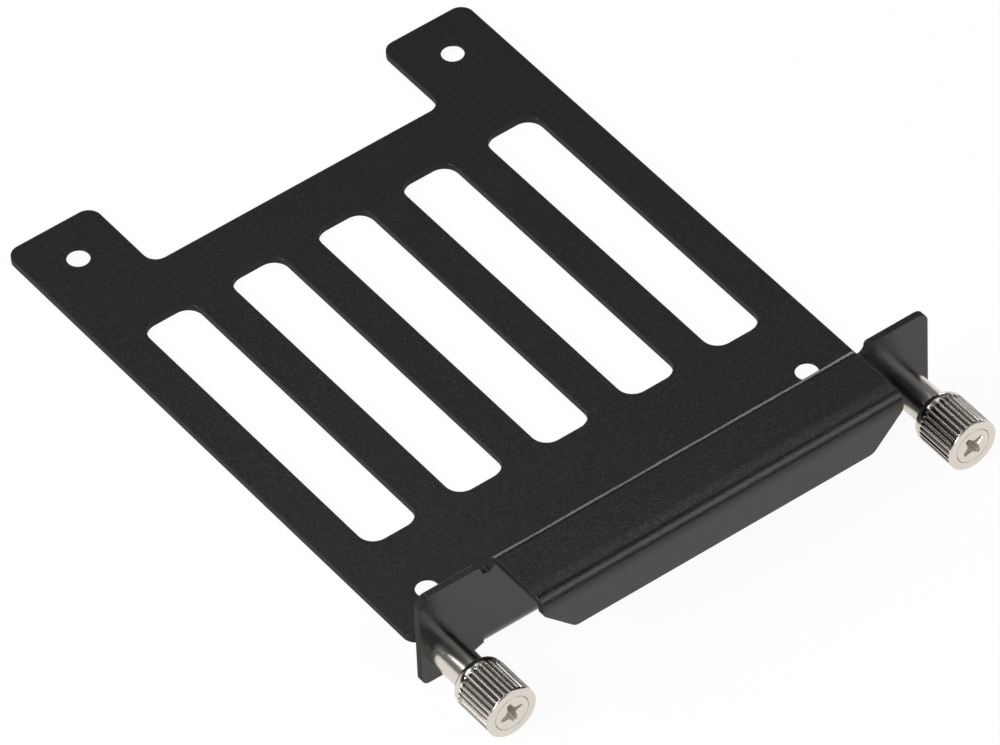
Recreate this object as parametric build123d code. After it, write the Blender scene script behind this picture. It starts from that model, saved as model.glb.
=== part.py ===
from build123d import *
import os

# Drive bay adapter bracket: one folded steel sheet that carries a small drive on four
# countersunk holes, with a finger lip in front and two captive thumb screws in its tabs.
# Millimetres. X runs across the bracket, Y from the front to the rear, Z up.
# The origin is the middle of the four drive holes, on the face that the drive sits on.

# The sheet, and the inner radius of each fold: wide at the plate, tight along the lip
sheet = 1.0
plate_bend = 2.0
lip_bend = 0.5

# The four drive holes, countersunk from the underside
hole_span_x = 61.72
hole_span_y = 76.6
hole_diameter = 3.2
hole_land = 0.2
countersink_slope = 1.0

# The plate: its ears, the notch between them and its corners
plate_inside_front = 3.1
ear_inside_hole = 7.06
ear_length = 13.9
ear_past_hole = 6.9
plate_before_hole = 6.3
plate_corner = 2.0
notch_corner = 2.0
neck_corner = 1.0

# The long slots
slot_count = 5
slot_pitch = 14.0
slot_width = 8.4
slot_past_front_hole = 10.5
slot_before_rear_hole = 15.6
slot_corner = 2.4

# The upright front plate, with a tab at each end
front_past_hole = 12.5
front_width = 82.0
tab_width = 9.8
tab_top = 14.5
tab_corner_top = 1.6
tab_corner_foot = 1.2
tab_inner_corner = 0.6
foot_slant_length = 4.6
foot_slant_rise = 1.6

# The finger lip that folds forward and down from the front plate
lip_top = 14.8
lip_depth = 10.1
lip_drop = 7.5
lip_chamfer = 5.0
lip_corner = 1.5
relief_width = 2.2
relief_depth = 1.6

# The thread of the captive thumb screws, and where they stand on the tabs
thread_diameter = 3.0
screw_from_edge = 3.8
screw_height = 3.3
running_clearance = 0.08

# The ferrule, swaged into the tab
ferrule_wall = 0.4
ferrule_floor = 0.6
ferrule_neck_wall = 0.52
catch_length = 0.5
catch_step = 0.35
rim_step = 0.6
rim_thickness = 0.5

# The knurled knob, rolled in behind the ferrule's catch
knob_wall = 0.95
knob_length = 8.0
knob_standoff = 6.0
knob_lip = 0.8
shoulder_length = 1.4
shoulder_start = 0.25
face_chamfer = 0.25
groove_count = 30
groove_width = 0.42
groove_depth = 0.19
groove_from_shoulder = 0.1
groove_from_face = 0.45

# The screw that is pressed into the knob: a threaded end, a thinner neck and a plug
neck_step = 0.3
neck_taper = 0.3
thread_past_rim = 0.3
tip_past_rim = 2.6
tip_chamfer = 0.4
plug_step = 0.25
plug_length = 1.7
plug_groove = 0.1
recess_span = 3.6
recess_tip = 0.55
recess_hub = 1.25
recess_depth = 1.5
recess_taper = 0.3
left_turn = 15
right_turn = 33

# The spring between the ferrule and the plug
spring_wire = 0.4
spring_turns = 4
spring_wire_sides = 4
spring_clearance = 0.1
spring_end_gap = 0.05

# How near two places count as one, and how far outside the surface a groove's cut begins
same_place = 0.01
cut_past = 0.1

# Places that follow from the sizes above
hole_front = -hole_span_y / 2
hole_rear = hole_span_y / 2
plate_width = front_width - 2 * plate_inside_front
plate_rear = hole_rear + ear_past_hole
plate_front = hole_front - plate_before_hole
front_face = hole_front - front_past_hole
front_back = front_face + sheet
notch_width = hole_span_x - 2 * ear_inside_hole
slot_front = hole_front + slot_past_front_hole
slot_rear = hole_rear - slot_before_rear_hole
tab_inner = front_width / 2 - tab_width
lip_half = tab_inner - relief_width
lip_face = front_face - lip_depth
lip_foot = lip_top - lip_drop
relief_bottom = tab_top - relief_depth
screw_x = front_width / 2 - screw_from_edge

# Radii of a thumb screw, each worked out from the one inside it
thread = thread_diameter / 2
thread_hole = thread + running_clearance
spring_outer = thread + spring_clearance + spring_wire
ferrule_bore = spring_outer + spring_clearance
ferrule_neck = thread_hole + ferrule_neck_wall
sleeve = ferrule_bore + ferrule_wall
cavity = sleeve + catch_step
plug = cavity - plug_step
crest = cavity + knob_wall

# Distances along a thumb screw, forward of the front plate
rim_back = -sheet - rim_thickness
knob_rear = knob_standoff
knob_front = knob_rear + knob_length
plug_back = knob_front - plug_length
ferrule_end = knob_rear + knob_lip + running_clearance + catch_length


def at(shapes, axis, place):
    """The vertices or edges whose middle lies at one place along an axis, from left to right."""
    return shapes.filter_by_position(axis, place - same_place, place + same_place).sort_by(Axis.X)


def plate_outline():
    """The flat plate seen from above, from the neck at the front fold to the two ears."""
    body = Pos(0, (plate_front + plate_rear) / 2) * Rectangle(plate_width, plate_rear - plate_front)
    neck_start = front_face + plate_bend + sheet
    neck_middle = (neck_start + plate_front) / 2
    neck = Pos(0, neck_middle) * Rectangle(2 * tab_inner, plate_front - neck_start)
    notch = Pos(0, plate_rear) * Rectangle(notch_width, 2 * ear_length)
    outline = body + neck - notch
    outline = fillet(at(outline.vertices(), Axis.Y, plate_rear), plate_corner)
    outline = fillet(at(outline.vertices(), Axis.Y, plate_rear - ear_length), notch_corner)
    front_row = at(outline.vertices(), Axis.Y, plate_front)
    outline = fillet([front_row[0], front_row[-1]], plate_corner)
    front_row = at(outline.vertices(), Axis.Y, plate_front)
    return fillet(front_row[1:3], neck_corner)


def slots():
    """The row of long rounded slots, centred across the plate."""
    middle = (slot_front + slot_rear) / 2
    row = GridLocations(slot_pitch, 1, slot_count, 1)
    slot = RectangleRounded(slot_width, slot_rear - slot_front, slot_corner)
    return [Pos(0, middle) * place * slot for place in row]


def drive_holes():
    """Four clearance holes, each widening to a countersink below a short land."""
    sink_depth = sheet - hole_land
    sink_radius = hole_diameter / 2 + countersink_slope * sink_depth
    hole = Cylinder(hole_diameter / 2, 3 * sheet)
    sink = Pos(0, 0, -sheet + sink_depth / 2) * Cone(sink_radius, hole_diameter / 2, sink_depth)
    return [place * (hole + sink) for place in GridLocations(hole_span_x, hole_span_y, 2, 2)]


def folded_strip():
    """The section of the folds, as one strip between the tabs."""
    path = Plane.YZ * FilletPolyline(
        (plate_front, -sheet),
        (front_face, -sheet),
        (front_face, lip_top - sheet),
        (lip_face + sheet, lip_top - sheet),
        (lip_face + sheet, lip_foot),
        radius=(plate_bend + sheet, lip_bend, lip_bend),
    )
    section = make_face(path.wire().offset_2d(sheet, side=Side.RIGHT, closed=True))
    strip = extrude(section, tab_inner, both=True)
    for side in (-1, 1):
        beside_lip = Box(relief_width, lip_depth, lip_top, align=(Align.CENTER, Align.MAX, Align.MIN))
        strip -= Pos(side * (lip_half + relief_width / 2), front_face, 0) * beside_lip
        strip -= Pos(side * (lip_half + relief_width / 2), front_face, 0) * relief()
    return strip


def relief():
    """The round-bottomed notch beside the lip's fold."""
    middle = relief_bottom + relief_width / 2
    round_end = Pos(0, middle) * Circle(relief_width / 2)
    straight = Rectangle(relief_width, lip_top - middle, align=(Align.CENTER, Align.MIN))
    return extrude(Plane.XZ * (round_end + Pos(0, middle) * straight), 2 * sheet, both=True)


def tab_outline():
    """The right tab seen from the front, with rounded corners and a slanted foot."""
    outer = front_width / 2
    outline = make_face(
        Polyline(
            (tab_inner, foot_slant_rise - sheet),
            (tab_inner + foot_slant_length, -sheet),
            (outer, -sheet),
            (outer, tab_top),
            (tab_inner, tab_top),
            close=True,
        )
    )
    outline = fillet(at(outline.vertices(), Axis.Y, tab_top)[-1], tab_corner_top)
    outline = fillet(at(outline.vertices(), Axis.Y, tab_top)[0], tab_inner_corner)
    return fillet(at(outline.vertices(), Axis.Y, -sheet)[-1], tab_corner_foot)


def tab():
    """The right tab with the hole that its ferrule is swaged into."""
    plate = extrude(Plane.XZ.offset(-front_back) * tab_outline(), sheet)
    hole = Rot(90, 0, 0) * Cylinder(ferrule_neck, 3 * sheet)
    return plate - Pos(screw_x, front_face, screw_height) * hole


def cut_lip_corners(body):
    """Chamfers the two lower corners of the lip's front face and softens them."""
    foot_edges = at(body.edges().filter_by(Axis.Y), Axis.Z, lip_foot)
    body = chamfer(foot_edges, lip_chamfer)
    short_edges = body.edges().filter_by(Axis.Y).filter_by_position(Axis.Y, lip_face, lip_face + sheet)
    chamfer_end = lip_foot + lip_chamfer
    low_edges = short_edges.filter_by_position(Axis.Z, lip_foot - same_place, chamfer_end + same_place)
    return fillet(low_edges, lip_corner)


def bracket():
    """The whole folded sheet."""
    flat = plate_outline() - slots()
    body = extrude(flat, -sheet) - drive_holes()
    body += cut_lip_corners(folded_strip())
    right = tab()
    body += right
    body += mirror(right, Plane.YZ)
    return body


def turned(points):
    """A solid turned about the screw's axis from (radius, forward) points."""
    outline = make_face(Plane.XZ * Polyline(*points, close=True))
    return revolve(outline, Axis.Z)


def ferrule():
    """The fixed sleeve, with its rim behind the tab and the catch that holds the knob."""
    catch = cavity - running_clearance
    catch_start = ferrule_end - catch_length
    points = [
        (thread_hole, rim_back),
        (ferrule_neck + rim_step / 3, rim_back),
        (ferrule_neck + rim_step, -sheet),
        (ferrule_neck, -sheet),
        (ferrule_neck, 0),
        (sleeve, 0),
        (sleeve, catch_start),
        (catch, catch_start),
        (catch, ferrule_end),
        (ferrule_bore, ferrule_end),
        (ferrule_bore, ferrule_floor),
        (thread_hole, ferrule_floor),
    ]
    return turned(points)


def knob_blank():
    """The knob before knurling: a cup whose rear shoulder is rolled in round the sleeve."""
    mouth = sleeve + running_clearance
    shoulder = mouth + shoulder_start
    shoulder_end = knob_rear + shoulder_length
    lip_inner = knob_rear + knob_lip
    outline = Line((mouth, knob_rear), (shoulder, knob_rear))
    outline += TangentArc((crest, shoulder_end), (shoulder, knob_rear), tangent=(0, -1))
    outline += Polyline(
        (crest, shoulder_end),
        (crest, knob_front - face_chamfer),
        (crest - face_chamfer, knob_front),
        (plug + plug_groove / 2, knob_front),
        (plug, knob_front - plug_groove),
        (plug, plug_back),
        (cavity, plug_back),
        (cavity, lip_inner),
        (mouth, lip_inner),
        (mouth, knob_rear),
    )
    return revolve(make_face(Plane.XZ * outline), Axis.Z)


def grooves():
    """The straight knurl: V grooves that slope out at both ends, short of the shoulder and the face."""
    start = knob_rear + shoulder_length + groove_from_shoulder
    stop = knob_front - groove_from_face
    reach = groove_depth + cut_past
    block = Box(reach + cut_past, groove_width + 2 * cut_past, stop - start + 2 * cut_past)
    groove = chamfer(block.faces().sort_by(Axis.X)[0].edges(), reach)
    outside = Pos(crest + cut_past - groove_depth / 2, 0, (start + stop) / 2)
    return [place * outside * groove for place in PolarLocations(0, groove_count)]


def knob():
    """The knurled knob, hollow behind so that it slides over the ferrule."""
    return knob_blank() - grooves()


def recess_outline(scale):
    """The four-pointed cross of the driver recess, at a share of its full size."""
    tip = scale * recess_span / 2
    half = scale * recess_tip / 2
    hub = scale * recess_hub / 2
    quarter = [(tip, -half), (tip, half), (hub, hub)]
    points = []
    for turn in range(4):
        points += [Vector(*point).rotate(Axis.Z, 90 * turn) for point in quarter]
    return make_face(Polyline(*points, close=True))


def screw(turn):
    """The cross-recess screw whose plug is pressed into the knob's face."""
    neck = thread - neck_step
    tip = rim_back - tip_past_rim
    thread_end = rim_back - thread_past_rim
    points = [
        (0, tip),
        (thread - tip_chamfer, tip),
        (thread, tip + tip_chamfer),
        (thread, thread_end),
        (neck, thread_end + neck_taper),
        (neck, plug_back),
        (plug, plug_back),
        (plug, knob_front - plug_groove),
        (plug - plug_groove / 2, knob_front),
        (0, knob_front),
    ]
    mouth = Pos(0, 0, knob_front) * recess_outline(1.0)
    bottom = Pos(0, 0, knob_front - recess_depth) * recess_outline(recess_taper)
    return Rot(0, 0, turn) * (turned(points) - loft([bottom, mouth]))


def spring():
    """The compression spring that holds the knob out."""
    radius = spring_outer - spring_wire / 2
    low = ferrule_floor + spring_end_gap + spring_wire / 2
    high = plug_back - spring_end_gap - spring_wire / 2
    path = Pos(0, 0, low) * Helix((high - low) / spring_turns, high - low, radius)
    wire = Plane(path @ 0, z_dir=path % 0) * RegularPolygon(spring_wire / 2, spring_wire_sides)
    return sweep(wire, path, is_frenet=True)


def main():
    os.makedirs("parts", exist_ok=True)
    export_step(bracket(), "parts/bracket.step")
    for side, name, turn in ((-1, "left", left_turn), (1, "right", right_turn)):
        seat = Pos(side * screw_x, front_face, screw_height) * Rot(90, 0, 0)
        export_step(seat * ferrule(), f"parts/{name}_ferrule.step")
        export_step(seat * knob(), f"parts/{name}_knob.step")
        export_step(seat * screw(turn), f"parts/{name}_screw.step")
        export_step(seat * spring(), f"parts/{name}_spring.step")


main()
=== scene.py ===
# %% [markdown]
# A drive bay adapter bracket: a black folded steel sheet with two nickel-plated thumb screws.
# The solid parts come from the CAD model, so this file gives them their finishes, adds the fine
# detail that is too small for the CAD, and sets up a plain studio around them.

# %% Start
import math

import bmesh
import bpy
from mathutils import Matrix, Vector


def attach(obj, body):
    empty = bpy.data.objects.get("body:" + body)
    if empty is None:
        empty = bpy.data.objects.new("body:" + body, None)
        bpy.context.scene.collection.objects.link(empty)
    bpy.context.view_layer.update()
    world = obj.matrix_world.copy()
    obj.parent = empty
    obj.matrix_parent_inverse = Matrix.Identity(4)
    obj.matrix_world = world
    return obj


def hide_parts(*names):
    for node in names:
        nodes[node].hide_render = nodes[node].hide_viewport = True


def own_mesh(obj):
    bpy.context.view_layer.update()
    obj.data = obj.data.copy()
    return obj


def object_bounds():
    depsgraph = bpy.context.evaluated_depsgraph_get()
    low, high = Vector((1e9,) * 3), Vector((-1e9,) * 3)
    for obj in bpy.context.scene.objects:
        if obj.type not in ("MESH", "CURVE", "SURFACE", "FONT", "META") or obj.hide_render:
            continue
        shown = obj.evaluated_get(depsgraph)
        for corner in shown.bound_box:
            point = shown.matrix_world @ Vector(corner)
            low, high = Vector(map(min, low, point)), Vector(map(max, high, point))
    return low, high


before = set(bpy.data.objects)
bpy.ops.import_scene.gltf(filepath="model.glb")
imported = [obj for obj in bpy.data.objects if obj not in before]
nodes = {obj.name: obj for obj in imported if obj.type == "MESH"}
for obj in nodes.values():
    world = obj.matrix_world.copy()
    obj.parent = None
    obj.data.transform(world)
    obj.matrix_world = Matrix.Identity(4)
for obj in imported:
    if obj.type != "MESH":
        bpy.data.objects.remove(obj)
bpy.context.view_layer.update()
MM = 0.001
print("pieces from the CAD model:", ", ".join(sorted(nodes)))

# %% [markdown]
# Colours are picked as they look on a screen, as hex values. A render adds light in linear values,
# so one function turns each colour into those. Materials could be wired up by hand in the shader
# editor. In a script, one small function that adds a node, sets its options and fills or links its
# sockets keeps every material short enough to read. The Mix node has sockets for several kinds of
# value, so the numbers of the two pairs that are used here, and of their results, get names.

# %% Colours and shader nodes
VALUE_A = 2
VALUE_B = 3
COLOUR_A = 6
COLOUR_B = 7
MIXED_VALUE = 0
MIXED_COLOUR = 2


def linear(hex_colour):
    """An sRGB hex colour as the linear values that the renderer adds up, with full opacity."""
    channels = [int(hex_colour[i:i + 2], 16) / 255 for i in (1, 3, 5)]
    return [c / 12.92 if c <= 0.04045 else ((c + 0.055) / 1.055) ** 2.4 for c in channels] + [1]


def add(tree, kind, sockets=None, **options):
    """Adds one node, sets its options, and gives each named or numbered socket a value or a link."""
    made = tree.nodes.new(kind)
    for name, value in options.items():
        setattr(made, name, value)
    for key, value in (sockets or {}).items():
        if isinstance(value, bpy.types.NodeSocket):
            tree.links.new(value, made.inputs[key])
        else:
            made.inputs[key].default_value = value
    return made


def new_material(name):
    """An empty material, and its node tree."""
    material = bpy.data.materials.new(name)
    material.use_nodes = True
    material.node_tree.nodes.clear()
    return material, material.node_tree


print("a middle grey on the screen is", round(linear("#808080")[0], 3), "of the light of white")

# %% [markdown]
# The sheet is steel under black powder coat: dry plastic powder, sprayed on and baked until it melts
# into one skin. A flat black would do from far away. Close by, the eye knows the coat by two things
# in its colour: soft clouds, where the skin is thicker or thinner, and a few grains that stay pale.
# A real grain is about 0.05 mm, which is too fine to show here, so specks are drawn at 0.2 mm.

# %% Powder coat: colour
CLOUD = 9
SPECK = 0.2
SPECK_FROM = 0.78
SPECK_FULL = 0.86
SPECK_SHARE = 0.45


def coat_colour(tree, place):
    """Two close blacks in soft clouds, with a few pale specks."""
    cloud = add(tree, "ShaderNodeTexNoise", {"Vector": place, "Scale": 1 / (CLOUD * MM), "Detail": 2.0})
    black = add(tree, "ShaderNodeMix", {"Factor": cloud.outputs["Fac"], COLOUR_A: linear("#191919"),
                                        COLOUR_B: linear("#1e1e1d")}, data_type="RGBA")
    speck = add(tree, "ShaderNodeTexNoise", {"Vector": place, "Scale": 1 / (SPECK * MM), "Detail": 0.0})
    share = add(tree, "ShaderNodeMapRange", {"Value": speck.outputs["Fac"], "From Min": SPECK_FROM,
                                             "From Max": SPECK_FULL, "To Max": SPECK_SHARE})
    both = add(tree, "ShaderNodeMix", {"Factor": share.outputs["Result"],
                                       COLOUR_A: black.outputs[MIXED_COLOUR],
                                       COLOUR_B: linear("#5a5a58")}, data_type="RGBA")
    return both.outputs[MIXED_COLOUR]


print("clouds of", CLOUD, "mm and specks of", SPECK, "mm")

# %% [markdown]
# The baked skin stays a little uneven: low ripples, called orange peel, and on them a fine sandy
# grain, drawn at 0.16 mm because the real one is finer than the picture can show. Both tilt the
# surface a few degrees and break every reflection into small soft patches. Moving the mesh would
# need millions of faces, so Bump nodes tilt only the shading, with heights in real millimetres.
# Near the lip the grain is coarser, and the sheet leans a little before its fold, because it was
# pulled over the edge of the bending tool. Its slope grows evenly, so the height falls with the
# square of the distance. The Bevel node rounds the edges, as the coat does where it flows over them.

# %% Powder coat: surface
PEEL = 0.7
PEEL_HEIGHT = 0.012
GRAIN = 0.16
GRAIN_HEIGHT = 0.020
LIP_GRAIN = 0.6
COAT_EDGE = 0.2
LEAN_START = -57.6
LEAN_PER_MM = 0.1
RISE_START = 12.3
RISE_PER_MM = 0.16


def distance_past(tree, first, second):
    """How much larger the first value is, and nought where it is smaller."""
    past = add(tree, "ShaderNodeMath", {0: first, 1: second}, operation="SUBTRACT")
    return add(tree, "ShaderNodeMath", {0: past.outputs[0], 1: 0.0}, operation="MAXIMUM").outputs[0]


def fall_after(tree, distance, slope_per_mm):
    """The height that is lost over a distance on which the slope grows evenly."""
    square = add(tree, "ShaderNodeMath", {0: distance, 1: distance}, operation="MULTIPLY")
    half_rate = -slope_per_mm / MM / 2
    return add(tree, "ShaderNodeMath", {0: square.outputs[0], 1: half_rate}, operation="MULTIPLY").outputs[0]


def coat_surface(tree, place, along, up):
    """The direction that the skin faces, after the rounded edges, the lip's lean, ripples and grain."""
    past = distance_past(tree, LEAN_START * MM, along)
    above = distance_past(tree, up, RISE_START * MM)
    on_lip = add(tree, "ShaderNodeMath", {0: past, 1: 0.0}, operation="GREATER_THAN").outputs[0]
    rise = add(tree, "ShaderNodeMath", {0: fall_after(tree, above, RISE_PER_MM), 1: on_lip},
               operation="MULTIPLY")
    fall = add(tree, "ShaderNodeMath", {0: fall_after(tree, past, LEAN_PER_MM), 1: rise.outputs[0]},
               operation="ADD")
    edge = add(tree, "ShaderNodeBevel", {"Radius": COAT_EDGE * MM}, samples=6)
    lean = add(tree, "ShaderNodeBump", {"Height": fall.outputs[0], "Distance": 1.0,
                                        "Normal": edge.outputs["Normal"]})
    peel = add(tree, "ShaderNodeTexNoise", {"Vector": place, "Scale": 1 / (PEEL * MM), "Detail": 1.0})
    ripples = add(tree, "ShaderNodeBump", {"Height": peel.outputs["Fac"], "Distance": PEEL_HEIGHT * MM,
                                           "Normal": lean.outputs["Normal"]})
    grain = add(tree, "ShaderNodeTexNoise", {"Vector": place, "Scale": 1 / (GRAIN * MM), "Detail": 0.0})
    coarser = add(tree, "ShaderNodeMath", {0: on_lip, 1: LIP_GRAIN, 2: 1.0}, operation="MULTIPLY_ADD")
    height = add(tree, "ShaderNodeMath", {0: grain.outputs["Fac"], 1: coarser.outputs[0]},
                 operation="MULTIPLY")
    sand = add(tree, "ShaderNodeBump", {"Height": height.outputs[0], "Distance": GRAIN_HEIGHT * MM,
                                        "Normal": ripples.outputs["Normal"]})
    return sand.outputs["Normal"]


print("ripples of", PEEL, "mm and grain of", GRAIN, "mm")

# %% [markdown]
# On the cut walls of the slots, the holes and the outline the melted skin draws back and stays thin,
# so they are matt and look darker than the faces. They could be painted by hand as a second material,
# but a CAD mesh keeps its faces as they are. So the material finds them by the way they face: the
# sheet was folded along one direction, and only cut walls face sideways. Round the flat base, every
# upright face is a cut wall.

# %% Powder coat: cut walls
FACES_SIDEWAYS = 0.3
FACES_UP = 0.5
BELOW_TOP = 0.02
BEND_START = -46.5


def on_a_cut_wall(tree, along, up):
    """One on the sheet's cut walls and nought elsewhere."""
    facing = add(tree, "ShaderNodeNewGeometry").outputs["True Normal"]
    sideways, _, upward = add(tree, "ShaderNodeSeparateXYZ", {"Vector": facing}).outputs
    side_share = add(tree, "ShaderNodeMath", {0: sideways}, operation="ABSOLUTE").outputs[0]
    side_wall = add(tree, "ShaderNodeMath", {0: side_share, 1: FACES_SIDEWAYS}, operation="GREATER_THAN")
    up_share = add(tree, "ShaderNodeMath", {0: upward}, operation="ABSOLUTE").outputs[0]
    upright = add(tree, "ShaderNodeMath", {0: up_share, 1: FACES_UP}, operation="LESS_THAN").outputs[0]
    in_base = add(tree, "ShaderNodeMath", {0: up, 1: -BELOW_TOP * MM}, operation="LESS_THAN").outputs[0]
    behind_bend = add(tree, "ShaderNodeMath", {0: along, 1: BEND_START * MM}, operation="GREATER_THAN")
    flat_part = add(tree, "ShaderNodeMath", {0: in_base, 1: behind_bend.outputs[0]}, operation="MULTIPLY")
    base_wall = add(tree, "ShaderNodeMath", {0: flat_part.outputs[0], 1: upright}, operation="MULTIPLY")
    return add(tree, "ShaderNodeMath", {0: base_wall.outputs[0], 1: side_wall.outputs[0]},
               operation="MAXIMUM").outputs[0]


print("cut walls found from", BEND_START, "mm to the rear")

# %% [markdown]
# The coat is a plastic, so it gets a plastic's IOR of 1.5. Its low roughness gives the eye the satin
# shine of a smooth black powder coat. The three sets of nodes above come together in one Principled
# shader, which is enough for paint. A second clear layer would show a sharper shine than this coat has.

# %% Powder coat: the material
COAT_ROUGHNESS = 0.12
COAT_GLOSS = 0.5
CUT_ROUGHNESS = 0.6
CUT_GLOSS = 0.2


def black_powder_coat():
    material, tree = new_material("black_powder_coat")
    place = add(tree, "ShaderNodeTexCoord").outputs["Object"]
    _, along, up = add(tree, "ShaderNodeSeparateXYZ", {"Vector": place}).outputs
    cut = on_a_cut_wall(tree, along, up)
    roughness = add(tree, "ShaderNodeMix", {"Factor": cut, VALUE_A: COAT_ROUGHNESS, VALUE_B: CUT_ROUGHNESS})
    gloss = add(tree, "ShaderNodeMix", {"Factor": cut, VALUE_A: COAT_GLOSS, VALUE_B: CUT_GLOSS})
    shader = add(tree, "ShaderNodeBsdfPrincipled", {"Base Color": coat_colour(tree, place), "IOR": 1.5,
                                                    "Roughness": roughness.outputs[MIXED_VALUE],
                                                    "Specular IOR Level": gloss.outputs[MIXED_VALUE],
                                                    "Normal": coat_surface(tree, place, along, up)})
    add(tree, "ShaderNodeOutputMaterial", {"Surface": shader.outputs["BSDF"]})
    return material


coat = black_powder_coat()
print("made", coat.name)

# %% [markdown]
# Both thumb screws stand straight out of the front plate, so a few sizes say where everything on
# them is: how far each screw's line is from the middle and above the base, where the plate's front
# face is, and how far in front of it the knob ends and its grooves begin.

# %% Main sizes of the thumb screws
SCREW_X = 37.2
SCREW_Z = 3.3
FRONT_FACE = -50.8
KNOB_FRONT = 14.0
CREST = 3.8
GROOVE_START = 7.6

print("the screws stand", 2 * SCREW_X, "mm apart and the knobs are", 2 * CREST, "mm across")

# %% [markdown]
# The thumb screws are turned from steel and plated with bright nickel, a slightly warm white metal.
# A metal has no colour of its own beside its reflections, so its base colour is the tint that nickel
# gives them. The plating follows the turned surface, so its roughness varies in rings that are drawn
# at 0.12 mm, coarser than the real tool marks, which would not show. Places that the polishing drum
# didn't reach stay duller, and a second colour and roughness are mixed in there. In the knob's
# grooves that second colour is a painted shade, for the light that reaches less far into them.

# %% Nickel plate
NICKEL = "#dad6d0"
TURNING_RING = 0.12
METAL_EDGE = 0.05
ROUGHNESS_SPREAD = 0.05


def nickel_plate(name, roughness, dull_and_shade_part=None, dull_and_shade_colour=NICKEL, dull_roughness=0.5):
    """Nickel; dull_and_shade_part draws, from 0 to 1, where it is duller and takes the second colour; in the
    knob's grooves that colour is a painted shade.
    """
    material, tree = new_material(name)
    place = add(tree, "ShaderNodeTexCoord").outputs["Object"]
    rings = add(tree, "ShaderNodeTexNoise", {"Vector": place, "Scale": 1 / (TURNING_RING * MM),
                                             "Detail": 2.0})
    polish = add(tree, "ShaderNodeMapRange", {"Value": rings.outputs["Fac"],
                                              "To Min": roughness - ROUGHNESS_SPREAD,
                                              "To Max": roughness + ROUGHNESS_SPREAD})
    dull_and_shade = dull_and_shade_part(tree, place) if dull_and_shade_part else 0.0
    tint = add(tree, "ShaderNodeMix", {"Factor": dull_and_shade, COLOUR_A: linear(NICKEL),
                                       COLOUR_B: linear(dull_and_shade_colour)}, data_type="RGBA")
    blur = add(tree, "ShaderNodeMix", {"Factor": dull_and_shade, VALUE_A: polish.outputs["Result"],
                                       VALUE_B: dull_roughness})
    edge = add(tree, "ShaderNodeBevel", {"Radius": METAL_EDGE * MM}, samples=6)
    shader = add(tree, "ShaderNodeBsdfPrincipled", {"Base Color": tint.outputs[MIXED_COLOUR],
                                                    "Metallic": 1.0,
                                                    "Roughness": blur.outputs[MIXED_VALUE],
                                                    "Normal": edge.outputs["Normal"]})
    add(tree, "ShaderNodeOutputMaterial", {"Surface": shader.outputs["BSDF"]})
    return material


turned_nickel = nickel_plate("nickel_plate_as_turned", 0.23)
print("made", turned_nickel.name, "for the sleeves, which keep their tool marks")

# %% [markdown]
# The knob's crests and face rub against each other in the drum and come out bright, while the
# grooves stay rougher and are painted darker as shade, because less light reaches into them. The
# grooves could be a separate mesh, but one material is simpler: it measures how far each point is from
# its screw's line, and what lies below the crest is rougher and painted dark. Where the grooves run out
# at the rear they are shallow, so there a smaller depth already counts.

# %% Nickel in the knob's grooves
# Depths below the crest between which the grooves turn rougher and take the painted shade.
DULL_AND_SHADE_FROM = 0.12
DULL_AND_SHADE_FULL = 0.30
TIP_DULL_AND_SHADE_FROM = 0.007
TIP_DULL_AND_SHADE_FULL = 0.04
TIP_LENGTH = 0.5
FACE_MARGIN = 0.05


def below_crest(tree, radius, start, full):
    """From 0 to 1 between two depths below the knurl's crest."""
    depth = add(tree, "ShaderNodeMapRange", {"Value": radius, "From Min": (CREST - start) * MM,
                                             "From Max": (CREST - full) * MM})
    return depth.outputs["Result"]


def in_a_groove(tree, place):
    """One in the knurl's grooves and nought on its crests, face and shoulder."""
    x, y, z = add(tree, "ShaderNodeSeparateXYZ", {"Vector": place}).outputs
    from_middle = add(tree, "ShaderNodeMath", {0: x}, operation="ABSOLUTE")
    aside = add(tree, "ShaderNodeMath", {0: from_middle.outputs[0], 1: SCREW_X * MM}, operation="SUBTRACT")
    above = add(tree, "ShaderNodeMath", {0: z, 1: SCREW_Z * MM}, operation="SUBTRACT")
    spot = add(tree, "ShaderNodeCombineXYZ", {"X": aside.outputs[0], "Y": above.outputs[0]})
    radius = add(tree, "ShaderNodeVectorMath", {0: spot.outputs[0]}, operation="LENGTH").outputs["Value"]
    deep = below_crest(tree, radius, DULL_AND_SHADE_FROM, DULL_AND_SHADE_FULL)
    shallow = below_crest(tree, radius, TIP_DULL_AND_SHADE_FROM, TIP_DULL_AND_SHADE_FULL)
    tip_end = (FRONT_FACE - GROOVE_START - TIP_LENGTH) * MM
    at_tip = add(tree, "ShaderNodeMath", {0: y, 1: tip_end}, operation="GREATER_THAN").outputs[0]
    tip = add(tree, "ShaderNodeMath", {0: shallow, 1: at_tip}, operation="MULTIPLY").outputs[0]
    low = add(tree, "ShaderNodeMath", {0: deep, 1: tip}, operation="MAXIMUM").outputs[0]
    face = (FRONT_FACE - KNOB_FRONT + FACE_MARGIN) * MM
    behind_face = add(tree, "ShaderNodeMath", {0: y, 1: face}, operation="GREATER_THAN").outputs[0]
    groove_end = (FRONT_FACE - GROOVE_START) * MM
    past_start = add(tree, "ShaderNodeMath", {0: y, 1: groove_end}, operation="LESS_THAN").outputs[0]
    knurled = add(tree, "ShaderNodeMath", {0: behind_face, 1: past_start}, operation="MULTIPLY").outputs[0]
    return add(tree, "ShaderNodeMath", {0: low, 1: knurled}, operation="MULTIPLY").outputs[0]


# 686560 is a painted shade in the grooves, and 0.40 is their roughness.
knob_nickel = nickel_plate("nickel_plate_knurled", 0.16, in_a_groove, "#686560", 0.40)
print("made", knob_nickel.name)

# %% [markdown]
# The screw's cross recess was punched, and no polishing reaches its bottom either. It lies behind the
# screw's flat face, so the distance from that face is enough to find it.

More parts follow.
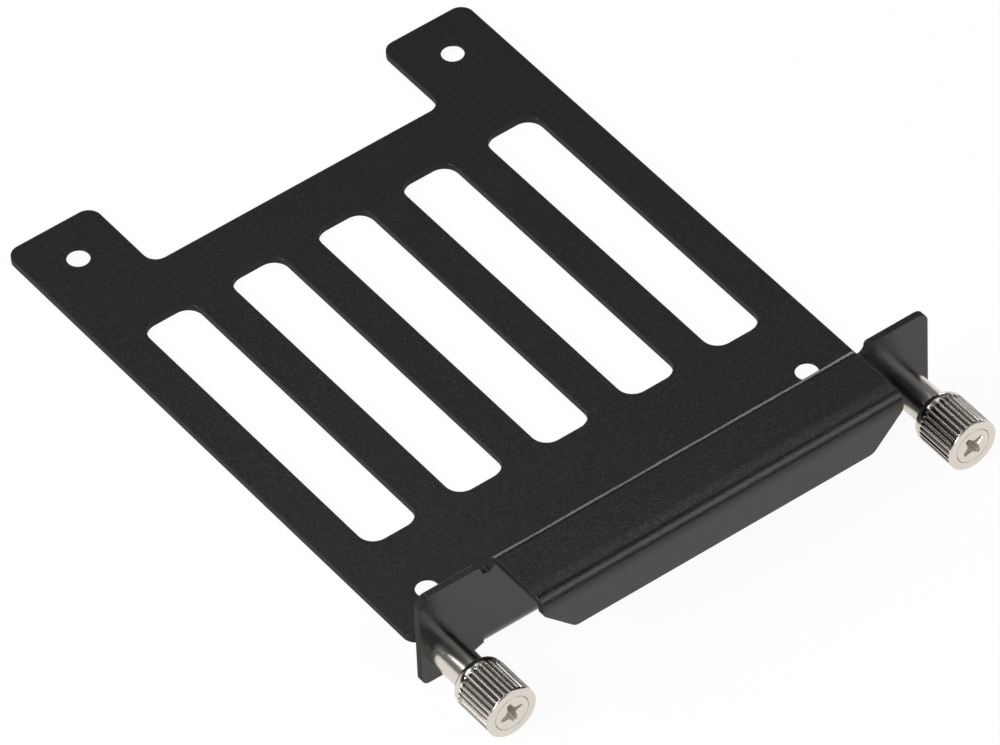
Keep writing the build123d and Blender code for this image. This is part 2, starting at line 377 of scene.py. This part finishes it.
# %% Nickel in the cross recess
RECESS_DULL = 0.2


def in_the_recess(tree, place):
    """From 0 to 1 behind the screw's flat face."""
    along = add(tree, "ShaderNodeSeparateXYZ", {"Vector": place}).outputs["Y"]
    face = FRONT_FACE - KNOB_FRONT
    depth = add(tree, "ShaderNodeMapRange", {"Value": along, "From Min": (face + FACE_MARGIN) * MM,
                                             "From Max": (face + RECESS_DULL) * MM})
    return depth.outputs["Result"]


screw_nickel = nickel_plate("nickel_plate_recessed", 0.18, in_the_recess, "#cfccc2", 0.60)
print("made", screw_nickel.name)

# %% [markdown]
# The spring inside each knob is drawn stainless wire, a cooler and slightly duller metal than the
# nickel. Drawing leaves fine lines along the wire. They are too fine to show, so only the roughness
# varies a little, every 0.2 mm.

# %% Spring wire
DRAWN_LINE = 0.2
WIRE_SHINIEST = 0.25
WIRE_DULLEST = 0.35


def spring_wire():
    material, tree = new_material("spring_wire")
    place = add(tree, "ShaderNodeTexCoord").outputs["Object"]
    drawn = add(tree, "ShaderNodeTexNoise", {"Vector": place, "Scale": 1 / (DRAWN_LINE * MM), "Detail": 1.0})
    blur = add(tree, "ShaderNodeMapRange", {"Value": drawn.outputs["Fac"], "To Min": WIRE_SHINIEST,
                                            "To Max": WIRE_DULLEST})
    shader = add(tree, "ShaderNodeBsdfPrincipled", {"Base Color": linear("#b9b8b5"), "Metallic": 1.0,
                                                    "Roughness": blur.outputs["Result"]})
    add(tree, "ShaderNodeOutputMaterial", {"Surface": shader.outputs["BSDF"]})
    return material


wire = spring_wire()
print("made", wire.name)

# %% [markdown]
# Each CAD piece gets the finish of the real one. The pieces are named by what they are, so the name
# is enough to choose it, and no piece is left with a plain grey.

# %% Finishes on the CAD pieces
def finish_of(name):
    if name == "bracket":
        return coat
    if name.endswith("ferrule"):
        return turned_nickel
    if name.endswith("spring"):
        return wire
    return screw_nickel if name.endswith("screw") else knob_nickel


for name, piece in nodes.items():
    piece.data.materials.clear()
    piece.data.materials.append(finish_of(name))
    print(name, "is", piece.data.materials[0].name)

# %% [markdown]
# The knobs and springs are round about their screw's line. Blender's Screw modifier could spin an
# outline, but not one whose radius changes with the angle, as a knurl's does. So a point is given by
# its distance from the line, how far it is in front of the face, and its angle. One function turns
# such points into places, and one joins rows of them into a skin with outward faces.

# %% Round pieces
SHARP_ANGLE = 50


def around(side, radius, forward, angle):
    """A place in metres from a radius and a distance forward in millimetres, round one screw's line."""
    return Vector((side * SCREW_X + radius * math.cos(angle), FRONT_FACE - forward,
                   SCREW_Z + radius * math.sin(angle))) * MM


def quads_between(this, following, count):
    """The faces between two rows of points, each row given by the number of its first point."""
    return [(this + j, this + (j + 1) % count, following + (j + 1) % count, following + j)
            for j in range(count)]


def skin(name, rows, closed):
    """A mesh whose quads join each row to the next; closed joins the last row to the first."""
    count = len(rows[0])
    points = [point for row in rows for point in row]
    faces = []
    for i in range(len(rows) if closed else len(rows) - 1):
        faces += quads_between(i * count, (i + 1) % len(rows) * count, count)
    if not closed:
        faces.append(tuple(range(count))[::-1])
        faces.append(tuple(range((len(rows) - 1) * count, len(rows) * count)))
    mesh = bpy.data.meshes.new(name)
    mesh.from_pydata(points, [], faces)
    work = bmesh.new()
    work.from_mesh(mesh)
    bmesh.ops.recalc_face_normals(work, faces=work.faces)
    work.to_mesh(mesh)
    work.free()
    mesh.shade_smooth()
    mesh.set_sharp_from_angle(angle=math.radians(SHARP_ANGLE))
    piece = bpy.data.objects.new(name, mesh)
    bpy.context.scene.collection.objects.link(piece)
    return piece


def settle(piece, material, body, replaced):
    """Gives a finished piece its material and its body, and hides the CAD node that it stands for."""
    piece.data.materials.append(material)
    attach(piece, body)
    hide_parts(replaced)
    print(piece.name, "has", len(piece.data.polygons), "faces and stands for", replaced)


print("left screw's line meets the face at", [round(v / MM, 1) for v in around(-1, 0, 0, 0)], "mm")

# %% [markdown]
# The knob is a cup with a straight knurl. A wheel with teeth is rolled along the turned blank, so
# each groove has a round bottom and soft ends, and the metal between the grooves is pushed up into a
# low crown with soft shoulders. Those shoulders give the white line beside every dark groove, and a
# bump pattern couldn't give the outline its teeth. The depth is a formula of the distance to the
# groove's middle line: it fades in at the rear and ends round near the face.

# %% The knurl
GROOVES = 30
GROOVE_STOP = 13.74
GROOVE_HALF = 0.30
GROOVE_DEPTH = 0.38
RUN_OUT = 0.45
CROWN = 0.03
TIP_SHARE = 0.5
BOTTOM_ROUNDNESS = 1.5
STEPS_PER_TOOTH = 20


def knob_angles():
    count = GROOVES * STEPS_PER_TOOTH
    return [2 * math.pi * i / count for i in range(count)]


def groove_depth(forward, angle):
    """How far the knurl lies below the crest at this place."""
    pitch = 2 * math.pi / GROOVES
    off = (angle / pitch + 0.5) % 1 - 0.5
    across = off * pitch * CREST
    part_in = min(max((forward - GROOVE_START) / RUN_OUT, 0), 1)
    fade = part_in * part_in * (3 - 2 * part_in)
    past_end = max(forward - (GROOVE_STOP - GROOVE_HALF), 0)
    half_width = GROOVE_HALF * (TIP_SHARE + (1 - TIP_SHARE) * fade)
    away = math.hypot(across, past_end) / half_width
    crown = CROWN * fade * (1 - 2 * abs(off)) ** 2 if past_end < GROOVE_HALF else 0
    if away >= 1:
        return crown
    return crown + GROOVE_DEPTH * fade * math.cos(away * math.pi / 2) ** BOTTOM_ROUNDNESS


print("the grooves are", round(2 * math.pi * CREST / GROOVES, 2), "mm apart")

# %% [markdown]
# The rest of the knob is plain turning. Its cut face is one closed outline: the mouth that slides on
# the sleeve, the big round shoulder, the knurled stretch, the rounded edge of the face, the seam
# round the pressed-in screw, and back along the cavity. The CAD knob has the same sizes with simpler
# grooves, and this knob takes its place in every pose.

# %% Knurled knobs
KNOB_REAR = 6.0
MOUTH = 2.58
MOUTH_ROUND = 0.12
CAVITY = 2.85
PLUG = 2.6
PLUG_BACK = 12.3
LIP_INNER = 6.8
SHOULDER = 2.83
SHOULDER_END = 7.4
SHOULDER_STOP = -4
EDGE_ROUND = 0.14
SEAM_WIDTH = 0.05
SEAM_DEPTH = 0.1
ROW_STEP = 0.6
MIDDLE_ROWS = 7


def arc(centre, radius, start, stop, steps):
    """Points (radius, forward) on a round stretch, from one angle in degrees to another."""
    turns = [math.radians(start + (stop - start) * i / steps) for i in range(steps + 1)]
    return [(centre[0] + radius * math.cos(t), centre[1] + radius * math.sin(t)) for t in turns]


def rear_of_knob():
    """The mouth's rounded edge and the shoulder, an arc that ends level with the crest."""
    mouth = arc((MOUTH + MOUTH_ROUND, KNOB_REAR + MOUTH_ROUND), MOUTH_ROUND, 180, 270, 4)
    step_in, step_on = CREST - SHOULDER, SHOULDER_END - KNOB_REAR
    radius = (step_in ** 2 + step_on ** 2) / (2 * step_in)
    start = -math.degrees(math.asin(step_on / radius))
    return mouth + arc((CREST - radius, SHOULDER_END), radius, start, SHOULDER_STOP, 14)


def knurled_stretch():
    """Rows along the grooves, close together where their depth changes."""
    run_out = [GROOVE_START + RUN_OUT * i / 8 for i in range(9)]
    middle = [run_out[-1] + ROW_STEP * i for i in range(1, MIDDLE_ROWS + 1)]
    round_end = [GROOVE_STOP - GROOVE_HALF * i / 6 for i in range(6, -1, -1)]
    return [(CREST, forward) for forward in run_out + middle + round_end]


def front_of_knob():
    """The face's rounded edge, the face and its seam, and the cavity behind the plug."""
    edge = arc((CREST - EDGE_ROUND, KNOB_FRONT - EDGE_ROUND), EDGE_ROUND, 0, 90, 5)
    seam = [(PLUG + SEAM_WIDTH, KNOB_FRONT), (PLUG, KNOB_FRONT - SEAM_DEPTH)]
    inside = [(PLUG, PLUG_BACK), (CAVITY, PLUG_BACK), (CAVITY, LIP_INNER), (MOUTH, LIP_INNER)]
    return edge + seam + inside


def knob(name, side):
    angles = knob_angles()
    rows = []
    for radius, forward in rear_of_knob():
        rows.append([around(side, radius, forward, a) for a in angles])
    for radius, forward in knurled_stretch():
        rows.append([around(side, radius - groove_depth(forward, a), forward, a) for a in angles])
    for radius, forward in front_of_knob():
        rows.append([around(side, radius, forward, a) for a in angles])
    return skin(name, rows, closed=True)


for side, word in ((-1, "left"), (1, "right")):
    made = knob(f"{word}_knurled_knob", side)
    settle(made, knob_nickel, f"{word}_thumb_screw", f"{word}_knob")

# %% [markdown]
# The spring pushes the knob out, so that the screw can't be lost. It is wound from round wire: the
# coil is a helix, and the wire's round section is carried along it.

# %% Springs
WIRE = 0.4
COIL = 1.8
COIL_TURNS = 4
COIL_REAR = 0.65
COIL_FRONT = 12.25
STEPS_PER_TURN = 32
WIRE_SIDES = 10


def spring(name, side):
    first, last = COIL_REAR + WIRE / 2, COIL_FRONT - WIRE / 2
    steps = COIL_TURNS * STEPS_PER_TURN
    round_wire = [2 * math.pi * k / WIRE_SIDES for k in range(WIRE_SIDES)]
    rows = []
    for i in range(steps + 1):
        angle = 2 * math.pi * i / STEPS_PER_TURN
        forward = first + (last - first) * i / steps
        rows.append([around(side, COIL + WIRE / 2 * math.cos(t), forward + WIRE / 2 * math.sin(t), angle)
                     for t in round_wire])
    return skin(name, rows, closed=False)


for side, word in ((-1, "left"), (1, "right")):
    coil = spring(f"{word}_wound_spring", side)
    settle(coil, wire, f"{word}_plunger", f"{word}_spring")
    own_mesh(coil)

# %% [markdown]
# The object lies on a white table whose far edge curves up, so no horizon shows from the side. The
# camera, and anything glossy, sees it as nearly even white, as in a product shot, because the Light
# Path node lets those rays meet a plain white emission. A small part of it stays matt white, so it
# still shows a soft shadow. In a reflection it looks a shade warmer, the way white card does.

# %% White table: the material
EVEN_SHARE = 0.95
EVEN_SHARE_IN_GLOSS = 0.85


def white_table():
    material, tree = new_material("white_table")
    rays = add(tree, "ShaderNodeLightPath").outputs
    shiny = add(tree, "ShaderNodeMath", {0: rays["Is Glossy Ray"], 1: rays["Is Transmission Ray"]},
                operation="MAXIMUM").outputs[0]
    seen = add(tree, "ShaderNodeMath", {0: rays["Is Camera Ray"], 1: EVEN_SHARE}, operation="MULTIPLY")
    mirrored = add(tree, "ShaderNodeMath", {0: shiny, 1: EVEN_SHARE_IN_GLOSS}, operation="MULTIPLY")
    share = add(tree, "ShaderNodeMath", {0: seen.outputs[0], 1: mirrored.outputs[0]}, operation="MAXIMUM")
    tint = add(tree, "ShaderNodeMix", {"Factor": shiny, COLOUR_A: linear("#ffffff"),
                                       COLOUR_B: linear("#fffbf5")}, data_type="RGBA")
    matt = add(tree, "ShaderNodeBsdfDiffuse", {"Color": linear("#fdfdfd")})
    white = add(tree, "ShaderNodeEmission", {"Color": tint.outputs[MIXED_COLOUR], "Strength": 1.0})
    both = add(tree, "ShaderNodeMixShader", {"Fac": share.outputs[0], 1: matt.outputs[0],
                                             2: white.outputs[0]})
    add(tree, "ShaderNodeOutputMaterial", {"Surface": both.outputs[0]})
    return material


table_white = white_table()
print("made", table_white.name)

# %% [markdown]
# The table is a round dish. Its flat middle reaches 2.4 metres, far past the lamps, and then its rim
# rises along a quarter of an ellipse that is a little squarer than a true one, so that it starts
# gently.

# %% White table: the dish
FLAT_RADIUS = 2.4
RIM_WIDTH = 0.6
RIM_HEIGHT = 0.36
RIM_POWER = 0.74
RIM_STEPS = 6
TABLE_SIDES = 96
TABLE_GAP = 0.1


def dish(name, top):
    work = bmesh.new()
    for i in range(RIM_STEPS + 1):
        turn = math.pi / 2 * i / RIM_STEPS
        radius = FLAT_RADIUS + RIM_WIDTH * math.sin(turn) ** RIM_POWER
        height = top + RIM_HEIGHT * (1 - math.cos(turn) ** RIM_POWER)
        ring = bmesh.ops.create_circle(work, radius=radius, segments=TABLE_SIDES)["verts"]
        bmesh.ops.translate(work, verts=ring, vec=(0, 0, height))
    bmesh.ops.bridge_loops(work, edges=work.edges[:])
    bmesh.ops.contextual_create(work, geom=work.verts[:TABLE_SIDES])
    mesh = bpy.data.meshes.new(name)
    work.to_mesh(mesh)
    work.free()
    return bpy.data.objects.new(name, mesh)


low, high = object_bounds()
table = dish("table", low[2] - TABLE_GAP * MM)
bpy.context.scene.collection.objects.link(table)
table.data.materials.append(table_white)
print("table top at", round(low[2] / MM, 2), "mm")

# %% [markdown]
# The room round the table is a plain dim grey. Black paint shows mostly what it reflects: the tray's
# top is a mirror of the room behind it, and in the photograph that is a mid grey. A picture of a real
# room could light it too, but a plain value is easier to match.

# %% Dim room
ROOM_LIGHT = 0.21


def dim_room():
    world = bpy.data.worlds.new("studio")
    bpy.context.scene.world = world
    world.use_nodes = True
    tree = world.node_tree
    tree.nodes.clear()
    grey = add(tree, "ShaderNodeBackground", {"Color": (1, 1, 1, 1), "Strength": ROOM_LIGHT})
    add(tree, "ShaderNodeOutputWorld", {"Surface": grey.outputs[0]})


dim_room()
print("the room gives", ROOM_LIGHT, "of white")

# %% [markdown]
# The lip's folds act as narrow mirrors and show how the studio is set up. Before the front fold comes
# a pale band, then a dark line and a bright band, so there is a narrow soft box a little behind the
# zenith and a wide one in front of it. The rear fold has a bright line low behind the object. A
# strong soft box on the left, which no flat face mirrors, brings the light up to a level at which
# colours look as they are picked. Area lamps are used because, unlike a sun or a point lamp, they
# have the size and edges of the real boxes, and reflections show both.

# %% Soft boxes
def soft_box(name, towards, distance, length, width, brightness, colour="#ffffff"):
    """A lamp in that direction from the object, turned to face it, its length along X."""
    lamp = bpy.data.lights.new(name, "AREA")
    lamp.shape = "RECTANGLE"
    lamp.size = length
    lamp.size_y = width
    lamp.energy = brightness * math.pi * length * width
    lamp.color = linear(colour)[:3]
    holder = bpy.data.objects.new(name, lamp)
    direction = Vector(towards).normalized()
    holder.location = direction * distance
    holder.rotation_euler = direction.to_track_quat("Z", "Y").to_euler()
    bpy.context.scene.collection.objects.link(holder)
    print(name, "at", [round(v, 2) for v in holder.location])


soft_box("upper_box", towards=(0.40, 0.33, 0.84), distance=1.5, length=1.4, width=0.15, brightness=1.6)
soft_box("front_box", towards=(0.40, -0.60, 0.73), distance=1.5, length=1.4, width=0.72, brightness=1.8)
soft_box("rear_box", towards=(0.35, 0.93, 0.22), distance=1.5, length=1.4, width=0.25, brightness=2.6,
         colour="#fff6ec")
soft_box("rear_left_box", towards=(-0.33, 0.67, 0.66), distance=1.5, length=0.9, width=0.40, brightness=2.4)
soft_box("left_box", towards=(-0.80, 0.0, 0.60), distance=1.6, length=0.75, width=0.75, brightness=14.0)

# %% [markdown]
# Black card keeps light off what should stay dark, as photographers do with shiny goods. Here it
# darkens what the lip's folds and the knobs mirror between the boxes. Lamps alone can't do that,
# because the room's grey fills every gap. The card is hidden from the camera, so it can't stand in
# the way of a view from above, and reflections still show it.

# %% Black card
def lying(left, right, front, rear, height):
    return [(left, front, height), (right, front, height), (right, rear, height), (left, rear, height)]


def standing(start, end, low_edge, high_edge):
    return [(*start, low_edge), (*end, low_edge), (*end, high_edge), (*start, high_edge)]


def black_card(name, corners):
    mesh = bpy.data.meshes.new(name)
    mesh.from_pydata(corners, [], [(0, 1, 2, 3)])
    mesh.materials.append(card_paint)
    card = bpy.data.objects.new(name, mesh)
    card.visible_camera = False
    bpy.context.scene.collection.objects.link(card)
    print(name, "has corners at", corners[0], "and", corners[2], "metres")


card_paint, card_tree = new_material("black_card")
card_shader = add(card_tree, "ShaderNodeBsdfDiffuse", {"Color": linear("#101010")})
add(card_tree, "ShaderNodeOutputMaterial", {"Surface": card_shader.outputs[0]})
black_card("card_above", lying(left=-0.7, right=2.4, front=-1.0, rear=0.42, height=2.0))
black_card("card_left", standing(start=(-2.6, 0.2), end=(-1.0, 2.4), low_edge=0.4, high_edge=2.0))
black_card("card_rear", standing(start=(-0.3, 2.2), end=(2.6, 2.2), low_edge=0.75, high_edge=1.9))

# %% [markdown]
# The camera stands to the front left and looks down at about 46 degrees, as in the photograph, from
# 1.42 metres away through a long lens. Its place could be found by eye, but here it was worked out
# from where the sheet's corners and holes are in the photograph. The picture is 1000 pixels wide, and
# the lens is given in those pixels too, so its length in millimetres follows from the sensor's width.

# %% Camera
AZIMUTH = -35.30
ELEVATION = 45.59
ROLL = -2.57
DISTANCE = 1.4218
AIM = Vector((-0.33, -13.39, 0)) * MM
FOCAL_PIXELS = 10928
PICTURE_WIDTH = 1000
SENSOR_WIDTH = 36


def towards_camera():
    """The direction from the object to the camera."""
    azimuth, elevation = math.radians(AZIMUTH), math.radians(ELEVATION)
    level = math.cos(elevation)
    return Vector((math.sin(azimuth) * level, -math.cos(azimuth) * level, math.sin(elevation)))


back = towards_camera()
camera_data = bpy.data.cameras.new("camera")
camera_data.sensor_width = SENSOR_WIDTH
camera_data.lens = SENSOR_WIDTH * FOCAL_PIXELS / PICTURE_WIDTH
camera = bpy.data.objects.new("camera", camera_data)
turn = back.to_track_quat("Z", "Y").to_matrix() @ Matrix.Rotation(math.radians(ROLL), 3, "Z")
camera.matrix_world = Matrix.Translation(AIM + back * DISTANCE) @ turn.to_4x4()
bpy.context.scene.collection.objects.link(camera)
bpy.context.scene.camera = camera
bpy.context.scene.view_settings.view_transform = "Standard"
print("camera at", [round(v, 4) for v in camera.location])
